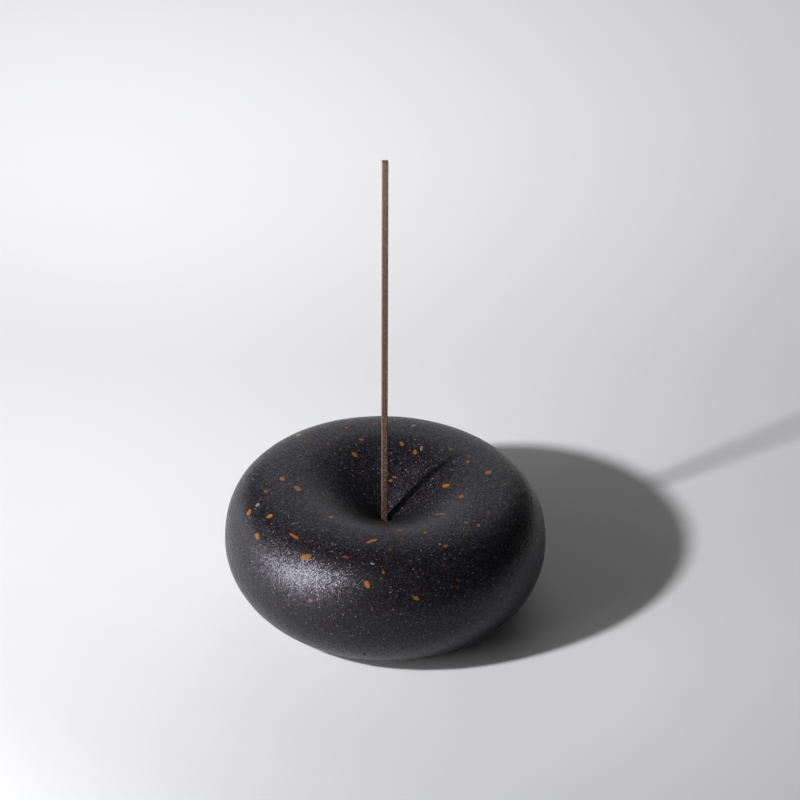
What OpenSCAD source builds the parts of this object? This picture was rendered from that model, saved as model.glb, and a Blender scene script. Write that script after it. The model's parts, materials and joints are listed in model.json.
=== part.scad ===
// Round incense burner of black cast terrazzo, with a solid incense stick standing in its hollow.
// Millimetres, +Z up. The origin is the centre of the footprint, on the surface that it stands on.
// The front faces -Y.

/* [Body] */
// Diameter of the body at its waist, the widest ring
body_d = 101.6; // [92:0.4:112]
// Height of the crest, the highest ring, above the table
crest_h = 41.3; // [38:0.1:46]
// Diameter of the crest ring
crest_d = 59.6; // [54:0.2:66]
// Height of the waist above the table
waist_h = 19.8; // [17:0.1:23]
// Diameter of the flat foot
foot_d = 70; // [66:0.5:78]
// Roundness of the flank below the waist: 2 is a true quarter oval and more is squarer
lower_round = 1.8; // [1.5:0.05:2.4]
// Roundness of the shoulder above the waist, on the same scale
upper_round = 2.45; // [1.9:0.05:2.8]

/* [Hollow] */
// Depth of the funnel's point below the crest
hollow_depth = 15; // [11:0.1:16]
// Softness of the roll from the crest into the funnel's straight wall
hollow_roll = 0.6; // [0.25:0.05:0.9]

/* [Stick hole] */
// Bore of the blind hole that holds the stick
hole_d = 3.5; // [2.9:0.1:4]
// Height of the hole's floor above the table
hole_floor = 15.6; // [12:0.1:18]
// Width of the worn edge round the hole's mouth
mouth_wear = 0.3; // [0.1:0.05:0.5]

/* [Incense stick] */
// Length of the unburnt stick
stick_l = 140; // [60:1:200]
// Side of its square section
stick_w = 1.85; // [1.4:0.05:1.9]
// Width of the broken edge along each corner
stick_edge = 0.22; // [0.1:0.02:0.3]
// Lean of the stick in its loose hole, towards -X
stick_lean = 1.5; // [0:0.1:2]
// Share of its free play by which the stick is off centre at the hole's mouth, towards -X
stick_rest = 0.9; // [0:0.05:0.9]
// Turn of the stick about its own axis
stick_turn = 8; // [0:1:45]

/* [Base pad] */
// Diameter of the cork pad glued under the foot
pad_d = 60; // [50:1:62]
// Thickness of the pad
pad_t = 2; // [1.5:0.1:3]
// How far the pad stands proud of the foot
pad_proud = 0.5; // [0.2:0.1:1]
// Gap between the pad's edge and the recess that it sits in
pad_gap = 0.2; // [0.1:0.05:0.5]

/* [Terrazzo chips] */
// How deep each chip reaches into the cast
chip_depth = 1.6; // [1:0.1:2.2]
// Size of all the chips, against the sizes listed for each
chip_scale = 1.06; // [0.8:0.02:1.1]
// Rings of chips round the back of the flank
back_rings = 4; // [2:1:5]
// Chips in each of those rings
back_ring_chips = 9; // [5:1:11]

/* [Hidden] */
$fn = 96;

body_r = body_d / 2;
crest_r = crest_d / 2;
foot_r = foot_d / 2;
hollow_steps = 22;  // bands down the funnel
quarter_steps = 16; // bands in each quarter of the flank
chip_proud = 2;     // how far a chip's blank stands out before the cast's form trims it
overcut = 1;        // how far a cut runs past the face that it opens

// Where each chip of the front and top lies: [bearing, station, length, width, turn, seed].
// The bearing is in degrees round +Z, from +X. The station runs up the section: 0 at the foot's edge,
// 1 at the waist, 2 at the crest and 3 at the funnel's point. The turn is in degrees from the ring's
// direction towards the next station, and the seed varies the outline.
AMBER = [
    [237, 1.59, 4.4, 2.1, 30, 11], [226, 1.73, 4.6, 1.1, 0, 12], [211, 1.48, 3.1, 1.7, 165, 13],
    [197, 1.55, 2.6, 1.9, 145, 14], [207, 1.72, 2.2, 1.8, 90, 15], [180, 1.94, 2.6, 1.9, 35, 16],
    [190, 2.05, 3.8, 2, 20, 17], [189, 1.79, 1.7, 1.2, 10, 18], [121, 2.3, 2.8, 1.5, 110, 19],
    [80, 2.2, 2.2, 1.3, 120, 20], [67, 2.27, 2.2, 1.4, 110, 21], [80, 2.58, 1.3, 0.9, 10, 22],
    [28, 2.04, 2, 1, 130, 23], [11, 2.37, 3.1, 2, 60, 24], [348, 2.2, 2.5, 1.8, 20, 25],
    [263, 1.96, 4.7, 1.4, 40, 26], [280, 2.15, 2.2, 1.1, 170, 27], [270, 1.6, 1.1, 0.9, 100, 28],
    [320, 2.27, 4.5, 1.2, 105, 29], [295, 2.02, 1.3, 1, 65, 30], [300, 1.82, 2, 1, 25, 31],
    [324, 1.87, 2, 1, 35, 32], [264, 1.46, 2.9, 1.7, 120, 33], [244, 1.18, 1.6, 1.3, 35, 34],
    [282, 1.32, 2.8, 1.1, 150, 35], [14, 1.94, 2.9, 2.1, 140, 68], [85, 2.62, 1.7, 0.9, 10, 66],
    [110, 2.13, 1.9, 1, 155, 65]
];
RUST = [
    [141, 1.9, 2.4, 1.1, 40, 41], [133, 2.05, 2, 1.1, 50, 42], [114, 1.92, 1.9, 1.4, 70, 43],
    [98, 1.91, 2.4, 1.4, 5, 44], [46, 2.05, 1.6, 1.3, 125, 45], [33, 1.99, 1.6, 1, 145, 46],
    [4, 1.82, 1.6, 1.1, 150, 47], [253, 1.72, 2.9, 1, 0, 48], [273, 1.87, 1.1, 0.9, 0, 49],
    [229, 2.06, 1.6, 0.9, 65, 50], [207, 2.6, 2.6, 0.9, 100, 51], [314, 1.86, 1.7, 0.9, 150, 52],
    [336, 1.89, 2, 0.9, 15, 53], [295, 1.62, 1.3, 0.9, 60, 54], [296, 1.38, 1.1, 0.9, 65, 55],
    [298, 1.35, 1.1, 0.9, 75, 56]
];
PALE = [
    [196, 1.67, 1.8, 1.6, 5, 61], [136, 1.71, 3.6, 1.4, 70, 62], [77, 1.9, 2.3, 1.3, 60, 64],
    [64, 2.2, 2.4, 0.9, 110, 67], [265, 1.69, 1.3, 0.9, 145, 69], [229, 2.14, 1.8, 1, 100, 70],
    [298, 1.86, 1, 0.9, 55, 71], [321, 1.96, 1.1, 0.9, 0, 72], [345, 1.27, 1.6, 1.1, 160, 73]
];

// Chips round the back and low on the flank, in staggered rings that a seed loosens.
BACK = [for (ring = [0:back_rings - 1], k = [0:back_ring_chips - 1])
    let (loose = rands(-1, 1, 6, 100 + 20 * ring + k))
    [8 + 164 * (k + 0.25 + 0.5 * (ring % 2)) / back_ring_chips + 4 * loose[0],
     0.32 + 0.26 * ring + 0.08 * loose[1],
     2.3 + 0.9 * loose[2], 1.4 + 0.4 * loose[3], 90 + 90 * loose[4], 200 + 20 * ring + k]];
FRONT = [for (k = [0:10])
    let (loose = rands(-1, 1, 5, 500 + k))
    [192 + 15 * k + 5 * loose[0], 0.38 + 0.1 * loose[1],
     1.9 + 0.7 * loose[2], 1.3 + 0.3 * loose[3], 90 + 90 * loose[4], 520 + k]];

// Takes every third scattered chip, starting at the given one, so the colours mix evenly.
function share(list, first) = [for (k = [first:3:len(list) - 1]) list[k]];
AMBER_ALL = concat(AMBER, share(BACK, 0), share(FRONT, 0));
RUST_ALL = concat(RUST, share(BACK, 1), share(FRONT, 1));
PALE_ALL = concat(PALE, share(BACK, 2), share(FRONT, 2));

// A quarter of a rounded square, from [1, 0] at 0 degrees to [0, 1] at 90.
function quarter(a, roundness) = [pow(cos(a), 2 / roundness), pow(sin(a), 2 / roundness)];

function flank_low(u) =
    let (q = quarter(90 * u, lower_round))
    [foot_r + (body_r - foot_r) * q[1], pad_proud + (waist_h - pad_proud) * (1 - q[0])];

function shoulder(u) =
    let (q = quarter(90 * u, upper_round))
    [crest_r + (body_r - crest_r) * q[0], waist_h + (crest_h - waist_h) * q[1]];

// The funnel is one branch of a hyperbola: level at the crest, and nearly straight lower down.
function roll(x) = sqrt(x * x + hollow_roll * hollow_roll) - hollow_roll;
function funnel(u) = [crest_r * (1 - u), crest_h - hollow_depth * roll(u) / roll(1)];

// Height at which the funnel's wall meets the hole.
function hole_mouth() = funnel(1 - hole_d / 2 / crest_r)[1];

// A point of the section, [radius, height], at a station from 0 to 3.
function section(station) =
    station < 1 ? flank_low(station) : station < 2 ? shoulder(station - 1) : funnel(station - 2);

// The section's outward tilt at a station, as an angle up from level.
function lean_out(station) =
    let (step = 0.01, a = section(station - step), b = section(station + step))
    atan2(a[0] - b[0], b[1] - a[1]);

// An uneven outline of seven to nine corners, about the given length and width.
function chip_outline(length, width, seed) =
    let (corners = 7 + seed % 3, jitter = rands(0.84, 1, 2 * corners, seed))
    [for (k = [0:corners - 1])
        let (a = 360 * (k + 3 * (1 - jitter[k])) / corners)
        [length / 2 * jitter[k] * cos(a), width / 2 * jitter[corners + k] * sin(a)]];

// The prism that a chip is cut from, square to the surface and standing out of it.
module chip_blank(chip) {
    place = section(chip[1]);
    rotate([0, 0, chip[0]])
    translate([place[0], 0, place[1]])
    rotate([0, 90 - lean_out(chip[1]), 0])
    rotate([0, 0, 90 + chip[4]])
    translate([0, 0, -chip_depth])
    linear_extrude(chip_depth + chip_proud)
    polygon(chip_outline(chip_scale * chip[2], chip_scale * chip[3], chip[5]));
}

module chip_blanks(chips) {
    for (chip = chips) chip_blank(chip);
}

// The whole outer form of the cast, with its hollow and without its hole or recess.
module form() {
    rotate_extrude()
    polygon(concat(
        [[0, pad_proud]],
        [for (k = [0:quarter_steps - 1]) flank_low(k / quarter_steps)],
        [for (k = [0:quarter_steps - 1]) shoulder(k / quarter_steps)],
        [for (k = [0:hollow_steps]) funnel(k / hollow_steps)]
    ));
}

module stick_hole() {
    mouth = hole_mouth();
    translate([0, 0, hole_floor])
    cylinder(h = mouth - hole_floor + overcut, d = hole_d);
    translate([0, 0, mouth - mouth_wear])
    cylinder(h = 2 * mouth_wear, d1 = hole_d, d2 = hole_d + 4 * mouth_wear);
}

module body() {
    color("#202124")
    difference() {
        form();
        stick_hole();
        translate([0, 0, pad_proud - overcut])
        cylinder(h = pad_t - pad_proud + overcut, d = pad_d + 2 * pad_gap);
        chip_blanks(AMBER_ALL);
        chip_blanks(RUST_ALL);
        chip_blanks(PALE_ALL);
    }
}

module inlay(chips) {
    intersection() {
        form();
        chip_blanks(chips);
    }
}

module amber_chips() { color("#c8802f") inlay(AMBER_ALL); }
module rust_chips() { color("#94502d") inlay(RUST_ALL); }
module pale_chips() { color("#cbbb9c") inlay(PALE_ALL); }

module base_pad() {
    color("#b08a5f")
    cylinder(h = pad_t, d = pad_d);
}

// A square stick with broken edges. It leans in its loose hole and rests against the mouth's one side.
module incense_stick() {
    half = stick_w / 2;
    flat = half - stick_edge;
    rest_gap = 0.05;
    play = hole_d / 2 - 1.3 * half;
    foot_shift = (hole_mouth() - hole_floor) * tan(stick_lean) - stick_rest * play;
    color("#6d5748")
    translate([foot_shift, 0, hole_floor + rest_gap])
    rotate([0, -stick_lean, 0])
    rotate([0, 0, stick_turn])
    linear_extrude(stick_l)
    polygon([
        [half, -flat], [half, flat], [flat, half], [-flat, half],
        [-half, flat], [-half, -flat], [-flat, -half], [flat, -half]
    ]);
}

body();
amber_chips();
rust_chips();
pale_chips();
base_pad();
incense_stick();
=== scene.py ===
"""The looks of a round black terrazzo incense burner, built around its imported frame.

The body is the CAD section revolved finely, with a pocket cut for every chip of the frame and small
air holes in its skin. The chips, sand grains, cork pad and stick are meshes of their own.
"""
import json
import math
import random

import bmesh
import bpy
import numpy as np
from mathutils import Matrix, Vector, noise
from mathutils.bvhtree import BVHTree


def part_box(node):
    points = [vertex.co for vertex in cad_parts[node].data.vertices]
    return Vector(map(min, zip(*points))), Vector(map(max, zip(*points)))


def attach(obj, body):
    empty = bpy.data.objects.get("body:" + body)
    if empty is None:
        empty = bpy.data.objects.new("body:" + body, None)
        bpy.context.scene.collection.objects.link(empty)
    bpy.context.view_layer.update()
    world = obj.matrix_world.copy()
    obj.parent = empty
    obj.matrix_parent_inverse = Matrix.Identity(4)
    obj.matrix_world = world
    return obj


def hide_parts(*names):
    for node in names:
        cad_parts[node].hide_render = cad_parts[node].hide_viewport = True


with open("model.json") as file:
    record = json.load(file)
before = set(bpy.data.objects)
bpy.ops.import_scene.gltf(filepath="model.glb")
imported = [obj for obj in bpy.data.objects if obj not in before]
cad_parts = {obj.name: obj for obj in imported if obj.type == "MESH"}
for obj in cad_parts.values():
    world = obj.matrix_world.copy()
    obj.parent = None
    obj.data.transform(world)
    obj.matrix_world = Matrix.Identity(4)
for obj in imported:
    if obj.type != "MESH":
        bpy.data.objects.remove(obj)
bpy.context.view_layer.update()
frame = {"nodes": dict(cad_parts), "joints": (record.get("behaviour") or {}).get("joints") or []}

MM = 0.001

# The section's shape, as the design has it: how round its quarters are, and its funnel.
LOWER_ROUND = 1.8
UPPER_ROUND = 2.45
HOLLOW_DEPTH = 15 * MM
HOLLOW_ROLL = 0.6
MOUTH_WEAR = 0.3 * MM

# Fineness of the body's skin.
BEARINGS = 400
FLANK_STEPS = 72
FUNNEL_STEPS = 76

# How far the skin is out of true at most, and the size of the longer and shorter waves in it.
SKIN_WAVE = 0.05 * MM
LONG_WAVE = 17 * MM
SHORT_WAVE = 6 * MM

CHIP_CUT_ABOVE = 1.5 * MM
CORNER_EASE = 0.2
GRAIN_COUNT = 1300
PIT_COUNT = 46


# ---------------------------------------------------------------- the frame's own measures

def cad_points(node):
    """The vertices of a CAD node, as rows of x, y, z."""
    mesh = frame["nodes"][node].data
    flat = np.empty(3 * len(mesh.vertices), np.float32)
    mesh.vertices.foreach_get("co", flat)
    return flat.reshape(-1, 3).astype(float)


def measure_body():
    """The section's marks: radii and heights of the foot, waist, crest, hole and recess."""
    points = cad_points("body")
    radius = np.hypot(points[:, 0], points[:, 1])
    height = points[:, 2]
    low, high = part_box("body")
    near = 0.01 * MM
    foot = radius[height < low.z + near]
    hole = (radius < 2.5 * MM) & (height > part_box("base_pad")[1].z + MM)
    floor_z = height[hole].min()
    return {
        "body_r": high.x,
        "foot_z": low.z,
        "crest_z": high.z,
        "crest_r": radius[height > high.z - near].mean(),
        "waist_z": height[radius > high.x - near].mean(),
        "foot_r": foot.max(),
        "recess_r": foot.min(),
        "recess_z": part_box("base_pad")[1].z,
        "hole_z": floor_z,
        "hole_r": radius[hole & (height < floor_z + near)].max(),
    }


MARK = measure_body()


# ---------------------------------------------------------------- the section

def quarter(share, roundness):
    """A quarter of a rounded square, from (1, 0) at share 0 to (0, 1) at share 1."""
    angle = share * math.pi / 2
    return max(0.0, math.cos(angle)) ** (2 / roundness), math.sin(angle) ** (2 / roundness)


def roll(x):
    """A hyperbola's branch that starts level at 0."""
    return math.hypot(x, HOLLOW_ROLL) - HOLLOW_ROLL


def section(station):
    """Radius and height at a station: the foot's edge is at 0, the waist at 1, the crest at 2 and the
    funnel's point at 3."""
    if station < 1:
        down, out = quarter(station, LOWER_ROUND)
        return (MARK["foot_r"] + (MARK["body_r"] - MARK["foot_r"]) * out,
                MARK["foot_z"] + (MARK["waist_z"] - MARK["foot_z"]) * (1 - down))
    if station < 2:
        out, up = quarter(station - 1, UPPER_ROUND)
        return (MARK["crest_r"] + (MARK["body_r"] - MARK["crest_r"]) * out,
                MARK["waist_z"] + (MARK["crest_z"] - MARK["waist_z"]) * up)
    inward = station - 2
    return (MARK["crest_r"] * (1 - inward),
            MARK["crest_z"] - HOLLOW_DEPTH * roll(inward) / roll(1))


def section_normal(station):
    """The section's outward direction in its own plane, as (radius, height)."""
    (r0, z0), (r1, z1) = section(station - 0.004), section(station + 0.004)
    length = math.hypot(r1 - r0, z1 - z0)
    return (z1 - z0) / length, (r0 - r1) / length


def surface_frame(bearing, station):
    """A point of the skin and its axes there: round the ring, up the section, and outward."""
    radius, height = section(station)
    out, up = section_normal(station)
    around = Vector((-math.sin(bearing), math.cos(bearing), 0))
    normal = Vector((out * math.cos(bearing), out * math.sin(bearing), up))
    place = Vector((radius * math.cos(bearing), radius * math.sin(bearing), height))
    return place, around, normal.cross(around), normal


def body_section():
    """The closed outline that is revolved, from the recess's centre round to the hole's floor."""
    lip_station = 3 - (MARK["hole_r"] + MOUTH_WEAR) / MARK["crest_r"]
    wall_z = section(lip_station)[1] - 1.5 * MOUTH_WEAR
    corner = (MARK["hole_r"] + 0.3 * MOUTH_WEAR, section(3 - MARK["hole_r"] / MARK["crest_r"])[1])
    lip = section(lip_station)
    outline = [(0, MARK["recess_z"]), (MARK["recess_r"], MARK["recess_z"]),
               (MARK["recess_r"], MARK["foot_z"])]
    outline += [section(t) for t in np.linspace(0, 2, 2 * FLANK_STEPS, endpoint=False)]
    outline += [section(t) for t in np.linspace(2, lip_station, FUNNEL_STEPS)]
    for t in np.linspace(0, 1, 7)[1:]:
        weights = (1 - t) ** 2, 2 * t * (1 - t), t ** 2
        outline.append(tuple(weights[0] * lip[i] + weights[1] * corner[i]
                             + weights[2] * (MARK["hole_r"], wall_z)[i] for i in range(2)))
    outline += [(MARK["hole_r"], z) for z in np.linspace(wall_z, MARK["hole_z"], 12)[1:]]
    outline.append((0, MARK["hole_z"]))
    return outline


# ---------------------------------------------------------------- mesh helpers

def new_mesh(name, points, faces):
    """A mesh datablock of the given points and faces."""
    mesh = bpy.data.meshes.new(name)
    mesh.from_pydata([tuple(p) for p in points], [], faces)
    mesh.validate()
    mesh.update()
    return mesh


def new_piece(name, points, faces, material, sharp_degrees=35):
    """A smooth-shaded mesh object whose edges sharper than the angle stay crisp."""
    piece = bpy.data.objects.new(name, new_mesh(name, points, faces))
    bpy.context.scene.collection.objects.link(piece)
    finish_shading(piece, material, sharp_degrees)
    return piece


def finish_shading(piece, material, sharp_degrees):
    """Smooth shading with crisp edges above the angle, and the one material."""
    mesh = piece.data
    mesh.shade_smooth()
    mesh.set_sharp_from_angle(angle=math.radians(sharp_degrees))
    mesh.materials.clear()
    mesh.materials.append(material)


def revolve(outline, bearings):
    """Points and faces of a closed outline turned about Z. Its first and last points are on the axis."""
    points, rings = [], []
    for radius, height in outline:
        if radius < 1e-9:
            rings.append([len(points)])
            points.append((0, 0, height))
            continue
        rings.append(list(range(len(points), len(points) + bearings)))
        for k in range(bearings):
            angle = 2 * math.pi * k / bearings
            points.append((radius * math.cos(angle), radius * math.sin(angle), height))
    faces = []
    for low, high in zip(rings[:-1], rings[1:]):
        for k in range(bearings):
            n = (k + 1) % bearings
            if len(low) == 1:
                faces.append((low[0], high[n], high[k]))
            elif len(high) == 1:
                faces.append((low[k], low[n], high[0]))
            else:
                faces.append((low[k], low[n], high[n], high[k]))
    return points, faces


def cut(piece, cutter):
    """Takes the cutter's volume out of the piece and removes the cutter."""
    modifier = piece.modifiers.new("cut", "BOOLEAN")
    modifier.operation = "DIFFERENCE"
    modifier.solver = "MANIFOLD"
    modifier.object = cutter
    bpy.context.view_layer.update()
    shaped = piece.evaluated_get(bpy.context.evaluated_depsgraph_get())
    mesh = bpy.data.meshes.new_from_object(shaped)
    piece.modifiers.clear()
    piece.data = mesh
    bpy.data.objects.remove(cutter)


def settle(point):
    """A cast point moved inwards by a few hundredths, so that the skin isn't perfectly true. The
    hole, the foot and the recess stay as they are."""
    radius = math.hypot(point[0], point[1])
    out, up = radius - MARK["crest_r"], point[2] - MARK["waist_z"]
    reach = math.hypot(out, up)
    if radius < 3 * MM or point[2] < MARK["foot_z"] + MM or reach < MM:
        return point
    wave = noise.noise(Vector(point) / LONG_WAVE) + 0.4 * noise.noise(Vector(point) / SHORT_WAVE)
    depth = SKIN_WAVE * (wave - 1.4) / reach
    return (point[0] * (1 + depth * out / radius), point[1] * (1 + depth * out / radius),
            point[2] + depth * up)


def settle_mesh(mesh):
    """Settles every vertex of the cast."""
    for vertex in mesh.vertices:
        vertex.co = settle(vertex.co)
    mesh.update()


# ---------------------------------------------------------------- chips

def islands(node):
    """The points of each separate solid in a CAD node."""
    bm = bmesh.new()
    bm.from_mesh(frame["nodes"][node].data)
    bmesh.ops.remove_doubles(bm, verts=bm.verts, dist=0.001 * MM)
    seen, groups = set(), []
    for start in bm.verts:
        if start in seen:
            continue
        seen.add(start)
        group, queue = [], [start]
        while queue:
            vertex = queue.pop()
            group.append(tuple(vertex.co))
            for edge in vertex.link_edges:
                other = edge.other_vert(vertex)
                if other not in seen:
                    seen.add(other)
                    queue.append(other)
        groups.append(np.array(group))
    bm.free()
    return groups


STATIONS = np.linspace(0.02, 2.96, 1200)
SECTION_TABLE = np.array([section(t) for t in STATIONS])


def nearest_place(point):
    """Bearing and station of the skin nearest to a point."""
    offset = SECTION_TABLE - (math.hypot(point[0], point[1]), point[2])
    return math.atan2(point[1], point[0]), STATIONS[np.hypot(*offset.T).argmin()]


def broken(corners, middle):
    """An outline within the given one, bitten and notched a little, with its corners just eased."""
    chance = random.Random(round(1e6 * abs(corners).sum()))
    turn, lobes, bite = chance.uniform(0, 6.3), chance.choice((1, 2, 3)), chance.uniform(0, 0.2)
    for _ in range(2):
        after = np.roll(corners, -1, axis=0)
        corners = np.stack([(1 - CORNER_EASE) * corners + CORNER_EASE * after,
                            CORNER_EASE * corners + (1 - CORNER_EASE) * after], axis=1).reshape(-1, 2)
    spread = corners - middle
    angle = np.arctan2(spread[:, 1], spread[:, 0])
    reach = 1 - bite * (0.5 + 0.5 * np.sin(lobes * angle + turn)) ** 2
    reach -= 0.05 * (0.5 + 0.5 * np.sin(5 * angle + 3 * turn))
    return middle + spread * reach[:, None]


def read_chip(points):
    """Where a CAD chip lies on the skin, its outline there, and how deep it reaches."""
    place, around, along, normal = surface_frame(*nearest_place(points.mean(axis=0)))
    local = points - np.array(place)
    flat = np.stack([local @ np.array(around), local @ np.array(along)], axis=1)
    depth = local @ np.array(normal)
    corners = flat[depth < depth.min() + 0.2 * MM]
    middle = corners.mean(axis=0)
    angle = np.arctan2(*(corners - middle).T[::-1])
    return {"place": place, "axes": (around, along, normal),
            "outline": broken(corners[np.argsort(angle)], middle), "floor": depth.min()}


def chip_point(chip, flat, height):
    around, along, normal = chip["axes"]
    return chip["place"] + around * flat[0] + along * flat[1] + normal * height


def skin_point(chip, flat, skin):
    """The point of the skin that lies straight under a chip's outline point."""
    above = chip_point(chip, flat, 2 * MM)
    found = skin.ray_cast(above, -chip["axes"][2])[0]
    return found if found is not None else chip_point(chip, flat, 0)


def add_prism(points, faces, low, high):
    """Adds a closed prism between two rings of the same length."""
    base, count = len(points), len(low)
    points += low + high
    faces.append(tuple(base + k for k in reversed(range(count))))
    faces.append(tuple(base + count + k for k in range(count)))
    for k in range(count):
        n = (k + 1) % count
        faces.append((base + k, base + n, base + count + n, base + count + k))


def add_chip(points, faces, chip, skin):
    """Adds a closed chip whose top follows the skin."""
    outline = chip["outline"]
    middle = outline.mean(axis=0)
    count = len(outline)
    base = len(points)
    points += [chip_point(chip, flat, chip["floor"]) for flat in outline]
    for share in (1.0, 0.7, 0.35):
        points += [skin_point(chip, middle + share * (flat - middle), skin) for flat in outline]
    points.append(skin_point(chip, middle, skin))
    faces.append(tuple(base + k for k in reversed(range(count))))
    for ring in range(3):
        for k in range(count):
            n = (k + 1) % count
            low, high = base + ring * count, base + (ring + 1) * count
            faces.append((low + k, low + n, high + n, high + k))
    top = base + 3 * count
    for k in range(count):
        faces.append((top + k, top + (k + 1) % count, base + 4 * count))


def make_chips(node, chips, skin, material):
    """All the chips of one CAD node, as one piece."""
    points, faces = [], []
    for chip in chips:
        add_chip(points, faces, chip, skin)
    piece = new_piece(node + "_inlay", [settle(p) for p in points], faces, material)
    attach(piece, "burner")
    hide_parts(node)


# ---------------------------------------------------------------- body, pits and grains

def random_place(chance):
    """A bearing and station drawn so that the skin is covered evenly: a place is kept as often as the
    skin is large there, for the same step in bearing and station."""
    step = 0.01
    largest = 52 * MM * 40 * MM
    while True:
        bearing, station = chance.uniform(0, 2 * math.pi), chance.uniform(0.12, 2.9)
        span = math.dist(section(station + step), section(station - step)) / (2 * step)
        if chance.uniform(0, largest) < span * section(station)[0]:
            return bearing, station


def pit_places():
    """The three air holes that show in front, then scattered ones."""
    chance = random.Random(7)
    seen = [(264, 0.63, 0.5), (248.5, 0.83, 0.24), (227, 0.86, 0.28)]
    places = [(math.radians(b), s, r * MM) for b, s, r in seen]
    while len(places) < PIT_COUNT:
        bearing, station = random_place(chance)
        places.append((bearing, station, MM * (0.14 + 0.26 * chance.random() ** 3)))
    return places


def add_pit(points, faces, bearing, station, radius):
    """Adds a small uneven ball, most of it under the skin, so that it opens as a hole whose mouth is
    narrower than its inside."""
    place, around, along, normal = surface_frame(bearing, station)
    ball = bmesh.new()
    bmesh.ops.create_icosphere(ball, subdivisions=2, radius=radius)
    base = len(points)
    for vertex in ball.verts:
        lump = 1 + 0.15 * noise.noise(vertex.co / radius + Vector((bearing, station, 0)) * 9)
        x, y, z = vertex.co * lump
        points.append(place + around * x + along * y + normal * (z - 0.55 * radius))
    faces += [tuple(base + v.index for v in face.verts) for face in ball.faces]
    ball.free()


def make_body(chips, material):
    """The cast, with a pocket for each chip and its air holes."""
    body = new_piece("body_cast", *revolve(body_section(), BEARINGS), material)
    skin = BVHTree.FromPolygons([v.co for v in body.data.vertices],
                                [tuple(f.vertices) for f in body.data.polygons])
    points, faces = [], []
    for chip in chips:
        low = [chip_point(chip, flat, chip["floor"]) for flat in chip["outline"]]
        high = [chip_point(chip, flat, CHIP_CUT_ABOVE) for flat in chip["outline"]]
        add_prism(points, faces, low, high)
    for pit in pit_places():
        add_pit(points, faces, *pit)
    cutter = bpy.data.objects.new("cutter", new_mesh("cutter", points, faces))
    bpy.context.scene.collection.objects.link(cutter)
    cut(body, cutter)
    settle_mesh(body.data)
    finish_shading(body, material, 35)
    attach(body, "burner")
    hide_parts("body")
    return skin


def clear_of_chips(place, chips, room):
    """Whether a place keeps its distance from every chip."""
    return all((place - chip["place"]).length > room + 0.6 * np.ptp(chip["outline"]) for chip in chips)


def make_grains(chips, material):
    """Pale sand grains, ground flush: each is a low dome whose rim is just under the skin."""
    chance = random.Random(21)
    points, faces = [], []
    made = 0
    while made < GRAIN_COUNT:
        place, around, along, normal = surface_frame(*random_place(chance))
        size = MM * (0.1 + 0.24 * chance.random() ** 3)
        corners = chance.randint(6, 8)
        stretch, turn = chance.uniform(0.55, 1), chance.uniform(0, math.pi)
        if not clear_of_chips(place, chips, size):
            continue
        base = len(points)
        for share, lift in ((1.0, -0.03), (0.86, 0.012)):
            for k in range(corners):
                angle = 2 * math.pi * k / corners
                reach = share * size * (0.8 + 0.2 * math.sin(3 * angle + 5 * turn))
                x, y = reach * math.cos(angle), reach * stretch * math.sin(angle)
                points.append(place + normal * (lift * MM)
                              + around * (x * math.cos(turn) - y * math.sin(turn))
                              + along * (x * math.sin(turn) + y * math.cos(turn)))
        faces.append(tuple(base + k for k in reversed(range(corners))))
        faces.append(tuple(base + corners + k for k in range(corners)))
        for k in range(corners):
            n = (k + 1) % corners
            faces.append((base + k, base + n, base + corners + n, base + corners + k))
        made += 1
    piece = new_piece("sand_grains", [settle(p) for p in points], faces, material)
    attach(piece, "burner")
    return piece


# ---------------------------------------------------------------- cork pad and stick

def make_pad(material):
    """The cork pad: a disc whose lower face and edge are pitted between the granules."""
    low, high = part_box("base_pad")
    radius, edge = high.x, 0.35 * MM
    outline = [(0, low.z)] + [(r, low.z) for r in np.linspace(0.8 * MM, radius - edge, 72)]
    outline += [(radius - edge * (1 - math.sin(a)), low.z + edge * (1 - math.cos(a)))
                for a in np.linspace(0.3, math.pi / 2, 4)]
    outline += [(radius, high.z), (0, high.z)]
    points, faces = revolve(outline, 260)
    shaped = []
    for point in points:
        if point[2] < high.z - 0.1 * MM:
            spread = noise.voronoi(Vector(point) / (1.5 * MM))[0]
            seam = max(0.0, 1 - 5 * (spread[1] - spread[0]))
            hole = max(0.0, noise.noise(Vector(point) / (2.6 * MM)) - 0.35)
            sunk = MM * (0.07 * seam + 0.5 * hole)
            point = (point[0], point[1], min(point[2] + sunk, high.z - 0.1 * MM))
        shaped.append(point)
    piece = new_piece("cork_pad", shaped, faces, material, 60)
    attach(piece, "burner")
    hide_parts("base_pad")


def read_stick():
    """The CAD stick's foot, its axes and its sizes."""
    points = cad_points("incense_stick")
    axis = np.array(frame["joints"][0]["axis"], float)
    axis /= np.linalg.norm(axis)
    along = points @ axis
    low = points[along < along.min() + 0.1 * MM]
    foot = low.mean(axis=0)
    side = np.cross((0, 1, 0), axis)
    side /= np.linalg.norm(side)
    back = np.cross(axis, side)
    angle = np.arctan2((low - foot) @ back, (low - foot) @ side)
    turn = (np.angle(np.exp(4j * angle).sum()) - math.pi) / 4
    across = side * math.cos(turn) + back * math.sin(turn)
    return {"foot": Vector(foot), "across": Vector(across), "back": Vector(np.cross(axis, across)),
            "axis": Vector(axis), "length": float(np.ptp(along)),
            "half": float(np.abs((low - foot) @ across).max())}


def square_outline(half, edge):
    """A square with rounded corners, with points along its sides as well."""
    outline = []
    for corner in range(4):
        start = corner * math.pi / 2
        middle = np.array([half - edge, half - edge])
        turned = np.array([[math.cos(start), -math.sin(start)], [math.sin(start), math.cos(start)]])
        for a in np.linspace(0, math.pi / 2, 4):
            outline.append(turned @ (middle + edge * np.array([math.cos(a), math.sin(a)])))
        for y in (0.45, 0, -0.45):
            outline.append(turned @ np.array([(half - edge) * y / 0.7, half]))
    return outline


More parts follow.
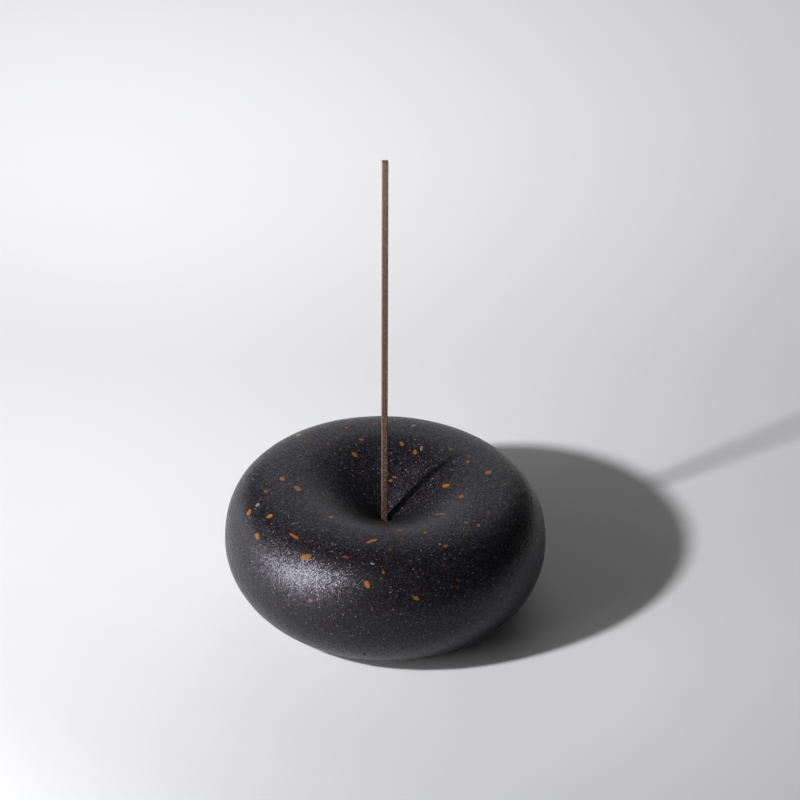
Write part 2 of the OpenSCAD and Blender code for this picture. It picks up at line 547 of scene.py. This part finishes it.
def make_stick(material):
    """The stick: a pressed square bar with soft corners, a powdery skin and squarely cut ends."""
    stick = read_stick()
    outline = square_outline(stick["half"], 0.2 * MM)
    count = len(outline)
    heights = [0.0, 0.03 * MM] + list(np.arange(0.4 * MM, stick["length"] - 0.3 * MM, 0.33 * MM))
    heights += [stick["length"] - 0.03 * MM, stick["length"]]
    points, faces = [], []
    for ring, height in enumerate(heights):
        end = ring in (0, len(heights) - 1)
        for flat in outline:
            spot = Vector((flat[0], flat[1], height))
            sway = noise.noise(Vector((0, 0, height)) / (9 * MM) + Vector((4, 1, 0)))
            grain = noise.noise(spot / (0.45 * MM)) + 0.6 * noise.noise(spot / (0.2 * MM))
            sunk = 0.01 * MM * (1.6 - grain) + 0.006 * MM * (1 + sway) + (0.03 * MM if end else 0)
            share = 1 - sunk / stick["half"]
            points.append(stick["foot"] + stick["across"] * (flat[0] * share)
                          + stick["back"] * (flat[1] * share) + stick["axis"] * height)
    for ring in range(len(heights) - 1):
        for k in range(count):
            n = (k + 1) % count
            low, high = ring * count, (ring + 1) * count
            faces.append((low + k, low + n, high + n, high + k))
    faces.append(tuple(reversed(range(count))))
    faces.append(tuple(range(len(points) - count, len(points))))
    piece = new_piece("stick_paste", points, faces, material, 40)
    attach(piece, "stick")
    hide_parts("incense_stick")


# ---------------------------------------------------------------- materials

class Paint:
    """A material under construction: adds nodes and links them by short calls."""

    def __init__(self, name):
        self.material = bpy.data.materials.new(name)
        self.material.use_nodes = True
        self.tree = self.material.node_tree
        self.tree.nodes.clear()
        self.shader = self.add("ShaderNodeBsdfPrincipled")
        out = self.add("ShaderNodeOutputMaterial")
        self.link(self.shader.outputs["BSDF"], out.inputs["Surface"])
        self.place = self.add("ShaderNodeTexCoord").outputs["Object"]

    def add(self, kind, **settings):
        """A new node with some of its settings."""
        node = self.tree.nodes.new(kind)
        for key, value in settings.items():
            setattr(node, key, value)
        return node

    def link(self, source, target):
        self.tree.links.new(source, target)

    def feed(self, socket, value):
        """Links another node's output to a socket, or sets the socket to a number or colour."""
        if hasattr(value, "default_value"):
            self.link(value, socket)
        else:
            socket.default_value = value

    def noise(self, size, detail=2.0, roughness=0.5):
        node = self.add("ShaderNodeTexNoise")
        self.link(self.place, node.inputs["Vector"])
        node.inputs["Scale"].default_value = 1 / size
        node.inputs["Detail"].default_value = detail
        node.inputs["Roughness"].default_value = roughness
        return node.outputs["Fac"]

    def cells(self, size):
        node = self.add("ShaderNodeTexVoronoi")
        self.link(self.place, node.inputs["Vector"])
        node.inputs["Scale"].default_value = 1 / size
        return node.outputs["Distance"], node.outputs["Color"]

    def math(self, operation, a, b=0.0):
        node = self.add("ShaderNodeMath", operation=operation)
        self.feed(node.inputs[0], a)
        self.feed(node.inputs[1], b)
        return node.outputs[0]

    def spread(self, value, low, high, to_low=0.0, to_high=1.0):
        node = self.add("ShaderNodeMapRange")
        node.interpolation_type = "SMOOTHSTEP"
        for name, given in (("Value", value), ("From Min", low), ("From Max", high),
                            ("To Min", to_low), ("To Max", to_high)):
            self.feed(node.inputs[name], given)
        return node.outputs["Result"]

    def split(self, colour):
        node = self.add("ShaderNodeSeparateColor")
        self.link(colour, node.inputs["Color"])
        return node.outputs

    def mix(self, share, low, high):
        node = self.add("ShaderNodeMix", data_type="RGBA")
        self.feed(node.inputs["Factor"], share)
        for socket, value in ((node.inputs[6], low), (node.inputs[7], high)):
            self.feed(socket, value if hasattr(value, "default_value") else (*value, 1))
        return node.outputs[2]

    def bump(self, height, distance, under=None):
        """A normal roughened by a height pattern, over another normal if one is given."""
        node = self.add("ShaderNodeBump")
        self.link(height, node.inputs["Height"])
        node.inputs["Distance"].default_value = distance
        node.inputs["Strength"].default_value = 1
        if under is not None:
            self.link(under, node.inputs["Normal"])
        return node.outputs["Normal"]

    def facets(self, colour, tilt):
        """Each cell of a pattern as a small flat face, tilted its own way."""
        centred = self.add("ShaderNodeVectorMath", operation="SUBTRACT")
        self.link(colour, centred.inputs[0])
        centred.inputs[1].default_value = (0.5, 0.5, 0.5)
        scaled = self.add("ShaderNodeVectorMath", operation="SCALE")
        self.link(centred.outputs[0], scaled.inputs[0])
        scaled.inputs["Scale"].default_value = tilt
        tilted = self.add("ShaderNodeVectorMath", operation="ADD")
        self.link(self.add("ShaderNodeNewGeometry").outputs["Normal"], tilted.inputs[0])
        self.link(scaled.outputs[0], tilted.inputs[1])
        unit = self.add("ShaderNodeVectorMath", operation="NORMALIZE")
        self.link(tilted.outputs[0], unit.inputs[0])
        return unit.outputs[0]

    def done(self, colour, roughness, normal):
        """The finished material."""
        for name, value in (("Base Color", colour), ("Roughness", roughness), ("Normal", normal)):
            self.feed(self.shader.inputs[name], value)
        return self.material


def grain_layer(paint, size, share, low, high):
    """Dots in some of the cells of a pattern: their mask and each cell's own brightness."""
    distance, colour = paint.cells(size)
    pick, reach, shade = paint.split(colour)[:3]
    chosen = paint.math("LESS_THAN", pick, share)
    edge = paint.spread(reach, 0, 1, low, high)
    dot = paint.spread(paint.math("SUBTRACT", distance, edge), -0.1, 0.06, 1, 0)
    return paint.math("MULTIPLY", dot, chosen), shade


def black_terrazzo():
    """Black cement full of fine pale sand, ground to a satin. Every grain is a facet of its own."""
    paint = Paint("black_terrazzo")
    paint.shader.inputs["Specular IOR Level"].default_value = 0.3
    paint.shader.inputs["Specular Tint"].default_value = (0.93, 0.9, 1, 1)
    cloud = paint.noise(16 * MM, 3)
    colour = paint.mix(cloud, (0.0018, 0.0015, 0.0024), (0.0034, 0.0029, 0.0045))
    cell_shade = paint.cells(0.29 * MM)[1]
    pick = paint.split(cell_shade)[0]
    colour = paint.mix(paint.spread(pick, 0.58, 1.0), colour, (0.034, 0.031, 0.039))
    mid, mid_shade = grain_layer(paint, 0.8 * MM, 0.26, 0.12, 0.34)
    colour = paint.mix(mid, colour, paint.mix(mid_shade, (0.015, 0.014, 0.018), (0.145, 0.137, 0.157)))
    normal = paint.bump(paint.noise(0.5 * MM, 3, 0.65), 0.015 * MM, paint.facets(cell_shade, 0.32))
    return paint.done(colour, paint.spread(pick, 0, 1, 0.32, 0.4), normal)


def stone_chip(name, dark, light, other, vein):
    """Ground stone: each chip has its own tone between a dark and one of two lighter colours, with
    cloudy mottling and fine darker veins."""
    paint = Paint(name)
    paint.shader.inputs["Specular IOR Level"].default_value = 0.3
    island = paint.add("ShaderNodeNewGeometry").outputs["Random Per Island"]
    tone = paint.math("MULTIPLY_ADD", paint.noise(1.1 * MM, 3), 0.7)
    tone.node.inputs[2].default_value = -0.1
    tone = paint.math("ADD", tone, paint.math("MULTIPLY", island, 0.5))
    hue = paint.spread(paint.math("FRACT", paint.math("MULTIPLY", island, 7.3)), 0.45, 0.9)
    colour = paint.mix(tone, dark, paint.mix(hue, light, other))
    streak = paint.spread(paint.noise(0.5 * MM, 4, 0.7), 0.56, 0.72, 0, 0.6)
    colour = paint.mix(streak, colour, vein)
    rough = paint.spread(paint.noise(0.6 * MM), 0.3, 0.7, 0.32, 0.46)
    return paint.done(colour, rough, paint.bump(paint.noise(0.4 * MM, 3), 0.01 * MM))


def cork():
    """Pressed cork granules with dark seams."""
    paint = Paint("cork")
    distance, colour = paint.cells(1.5 * MM)
    shade = paint.split(colour)[0]
    base = paint.mix(shade, (0.33, 0.19, 0.09), (0.55, 0.36, 0.19))
    base = paint.mix(paint.spread(distance, 0.42, 0.75), base, (0.13, 0.07, 0.035))
    specks = paint.spread(paint.noise(0.6 * MM, 3, 0.7), 0.6, 0.68, 0, 0.8)
    base = paint.mix(specks, base, (0.09, 0.045, 0.02))
    return paint.done(base, 0.85, paint.bump(paint.noise(0.4 * MM, 4, 0.7), 0.1 * MM))


def incense_paste():
    """Brown pressed powder, with fine pale and dark flecks, and painted shade that darkens it towards
    its tip.
    """
    paint = Paint("incense_paste")
    base = paint.mix(paint.noise(1.6 * MM, 3), (0.068, 0.031, 0.015), (0.118, 0.059, 0.032))
    dark = paint.spread(paint.noise(0.5 * MM, 3, 0.7), 0.47, 0.57, 0, 0.9)
    base = paint.mix(dark, base, (0.01, 0.005, 0.003))
    fleck, shade = grain_layer(paint, 0.6 * MM, 0.42, 0.18, 0.42)
    base = paint.mix(fleck, base, paint.mix(shade, (0.12, 0.061, 0.035), (0.3, 0.175, 0.107)))
    # Painted shade: the colour darkens up the stick, evening out the close key lamp's stronger light on
    # its upper part.
    painted_tip_shade = paint.spread(paint.split(paint.place)[2], 40 * MM, 165 * MM, 0, 0.6)
    base = paint.mix(painted_tip_shade, base, (0.028, 0.012, 0.006))
    return paint.done(base, 0.9, paint.bump(paint.noise(0.3 * MM, 4, 0.7), 0.06 * MM))


def pale_board():
    """Smooth pale paper, with the faintest tooth."""
    paint = Paint("pale_board")
    tone = paint.noise(60 * MM, 3)
    colour = paint.mix(tone, (0.83, 0.83, 0.85), (0.85, 0.85, 0.865))
    return paint.done(colour, 0.75, paint.bump(paint.noise(1.5 * MM, 3), 0.02 * MM))


# ---------------------------------------------------------------- studio

KEY_PLACE = Vector((-0.264, -0.191, 0.243))
KEY_RADIUS = 14 * MM


def add_lamp(name, kind, place, power):
    """A lamp of a kind at a place."""
    data = bpy.data.lights.new(name, kind)
    data.energy = power
    lamp = bpy.data.objects.new(name, data)
    bpy.context.scene.collection.objects.link(lamp)
    lamp.location = place
    return lamp


def aim(lamp, towards):
    """Turns a lamp to shine along a vector."""
    lamp.rotation_mode = "QUATERNION"
    lamp.rotation_quaternion = towards.to_track_quat("-Z", "Y")


def direction(bearing, rise):
    """The unit vector at a bearing round +Z and a rise above level, both in degrees."""
    bearing, rise = math.radians(bearing), math.radians(rise)
    level = math.cos(rise)
    return Vector((level * math.cos(bearing), level * math.sin(bearing), math.sin(rise)))


def key_beam(name, power, bearing, rise, half_angle):
    """A feathered beam of the key lamp."""
    beam = add_lamp(name, "SPOT", KEY_PLACE, power)
    beam.data.shadow_soft_size = KEY_RADIUS
    beam.data.spot_size = math.radians(2 * half_angle)
    beam.data.spot_blend = 1
    aim(beam, direction(bearing, rise))


def soft_panel(name, bearing, rise, distance, width, height, brightness, gloss_only=False):
    """A panel that faces the object: a lit wall or reflector of the studio. One for gloss only shows
    in the object's sheen and doesn't light the floor."""
    place = distance * direction(bearing, rise)
    panel = add_lamp(name, "AREA", place, math.pi * width * height * brightness)
    panel.data.shape = "RECTANGLE"
    panel.data.size = width
    panel.data.size_y = height
    panel.visible_camera = False
    panel.visible_diffuse = not gloss_only
    aim(panel, -place)


def make_studio():
    """A pale board, a small hard key lamp at the left front, aimed past the object, and soft panels."""
    half = 3.0
    level = -0.02 * MM
    square = ((-half, -half), (half, -half), (half, half), (-half, half))
    board = new_piece("board", [(x, y, level) for x, y in square], [(0, 1, 2, 3)], pale_board())
    bare = add_lamp("key_bare", "POINT", KEY_PLACE, 4.2)
    bare.data.shadow_soft_size = KEY_RADIUS
    key_beam("key_rear", 73, 76, 32, 68)
    key_beam("key_wide", 21, 56, 34, 88)
    soft_panel("rear_wall", 90, 26, 1.7, 1.5, 1.6, 0.74)
    soft_panel("left_low", 168, 4, 1.2, 1.6, 0.26, 3.2)
    soft_panel("left_mid", 209, 13, 1.1, 0.6, 0.32, 5.6)
    soft_panel("left_high", 196, 30, 1.4, 1.5, 0.6, 0.4)
    soft_panel("sheen_card", 205, 14, 1.1, 0.2, 0.16, 110, gloss_only=True)
    soft_panel("sheen_strip", 206, 5, 1.1, 0.6, 0.2, 11, gloss_only=True)
    world = bpy.data.worlds.new("studio")
    world.use_nodes = True
    world.node_tree.nodes["Background"].inputs["Color"].default_value = (1, 1, 1, 1)
    world.node_tree.nodes["Background"].inputs["Strength"].default_value = 0.04
    bpy.context.scene.world = world
    bpy.context.scene.view_settings.view_transform = "Standard"


def make_camera():
    """A long lens from the front, looking down at 33 degrees and turned 2 degrees about its axis."""
    data = bpy.data.cameras.new("camera")
    data.sensor_width = 36
    data.lens = 148.2
    camera = bpy.data.objects.new("camera", data)
    bpy.context.scene.collection.objects.link(camera)
    tilt = Matrix.Rotation(math.radians(90 - 32.85), 4, "X")
    twist = Matrix.Rotation(math.radians(2.09), 4, "Z")
    camera.matrix_world = Matrix.Translation((0.0031, -0.8529, 0.6229)) @ tilt @ twist
    bpy.context.scene.camera = camera


# ---------------------------------------------------------------- assembly

# The slot of each kind of chip, and its dark, light, other light and vein colours.
CHIP_STONES = {
    "amber_chips": ("amber_chip", (0.12, 0.042, 0.004), (0.27, 0.105, 0.012), (0.21, 0.072, 0.02),
                    (0.06, 0.02, 0.003)),
    "rust_chips": ("rust_chip", (0.05, 0.016, 0.005), (0.14, 0.05, 0.014), (0.12, 0.036, 0.02),
                   (0.02, 0.008, 0.004)),
    "pale_chips": ("pale_chip", (0.08, 0.068, 0.052), (0.24, 0.21, 0.17), (0.21, 0.155, 0.11),
                   (0.04, 0.034, 0.028)),
}
QUARTZ = ("quartz_sand", (0.035, 0.034, 0.036), (0.22, 0.215, 0.22), (0.2, 0.19, 0.18),
          (0.02, 0.02, 0.02))

make_camera()
make_studio()
chips = {node: [read_chip(points) for points in islands(node)] for node in CHIP_STONES}
every_chip = [chip for group in chips.values() for chip in group]
skin = make_body(every_chip, black_terrazzo())
for node, stone in CHIP_STONES.items():
    make_chips(node, chips[node], skin, stone_chip(*stone))
make_grains(every_chip, stone_chip(*QUARTZ))
make_pad(cork())
make_stick(incense_paste())
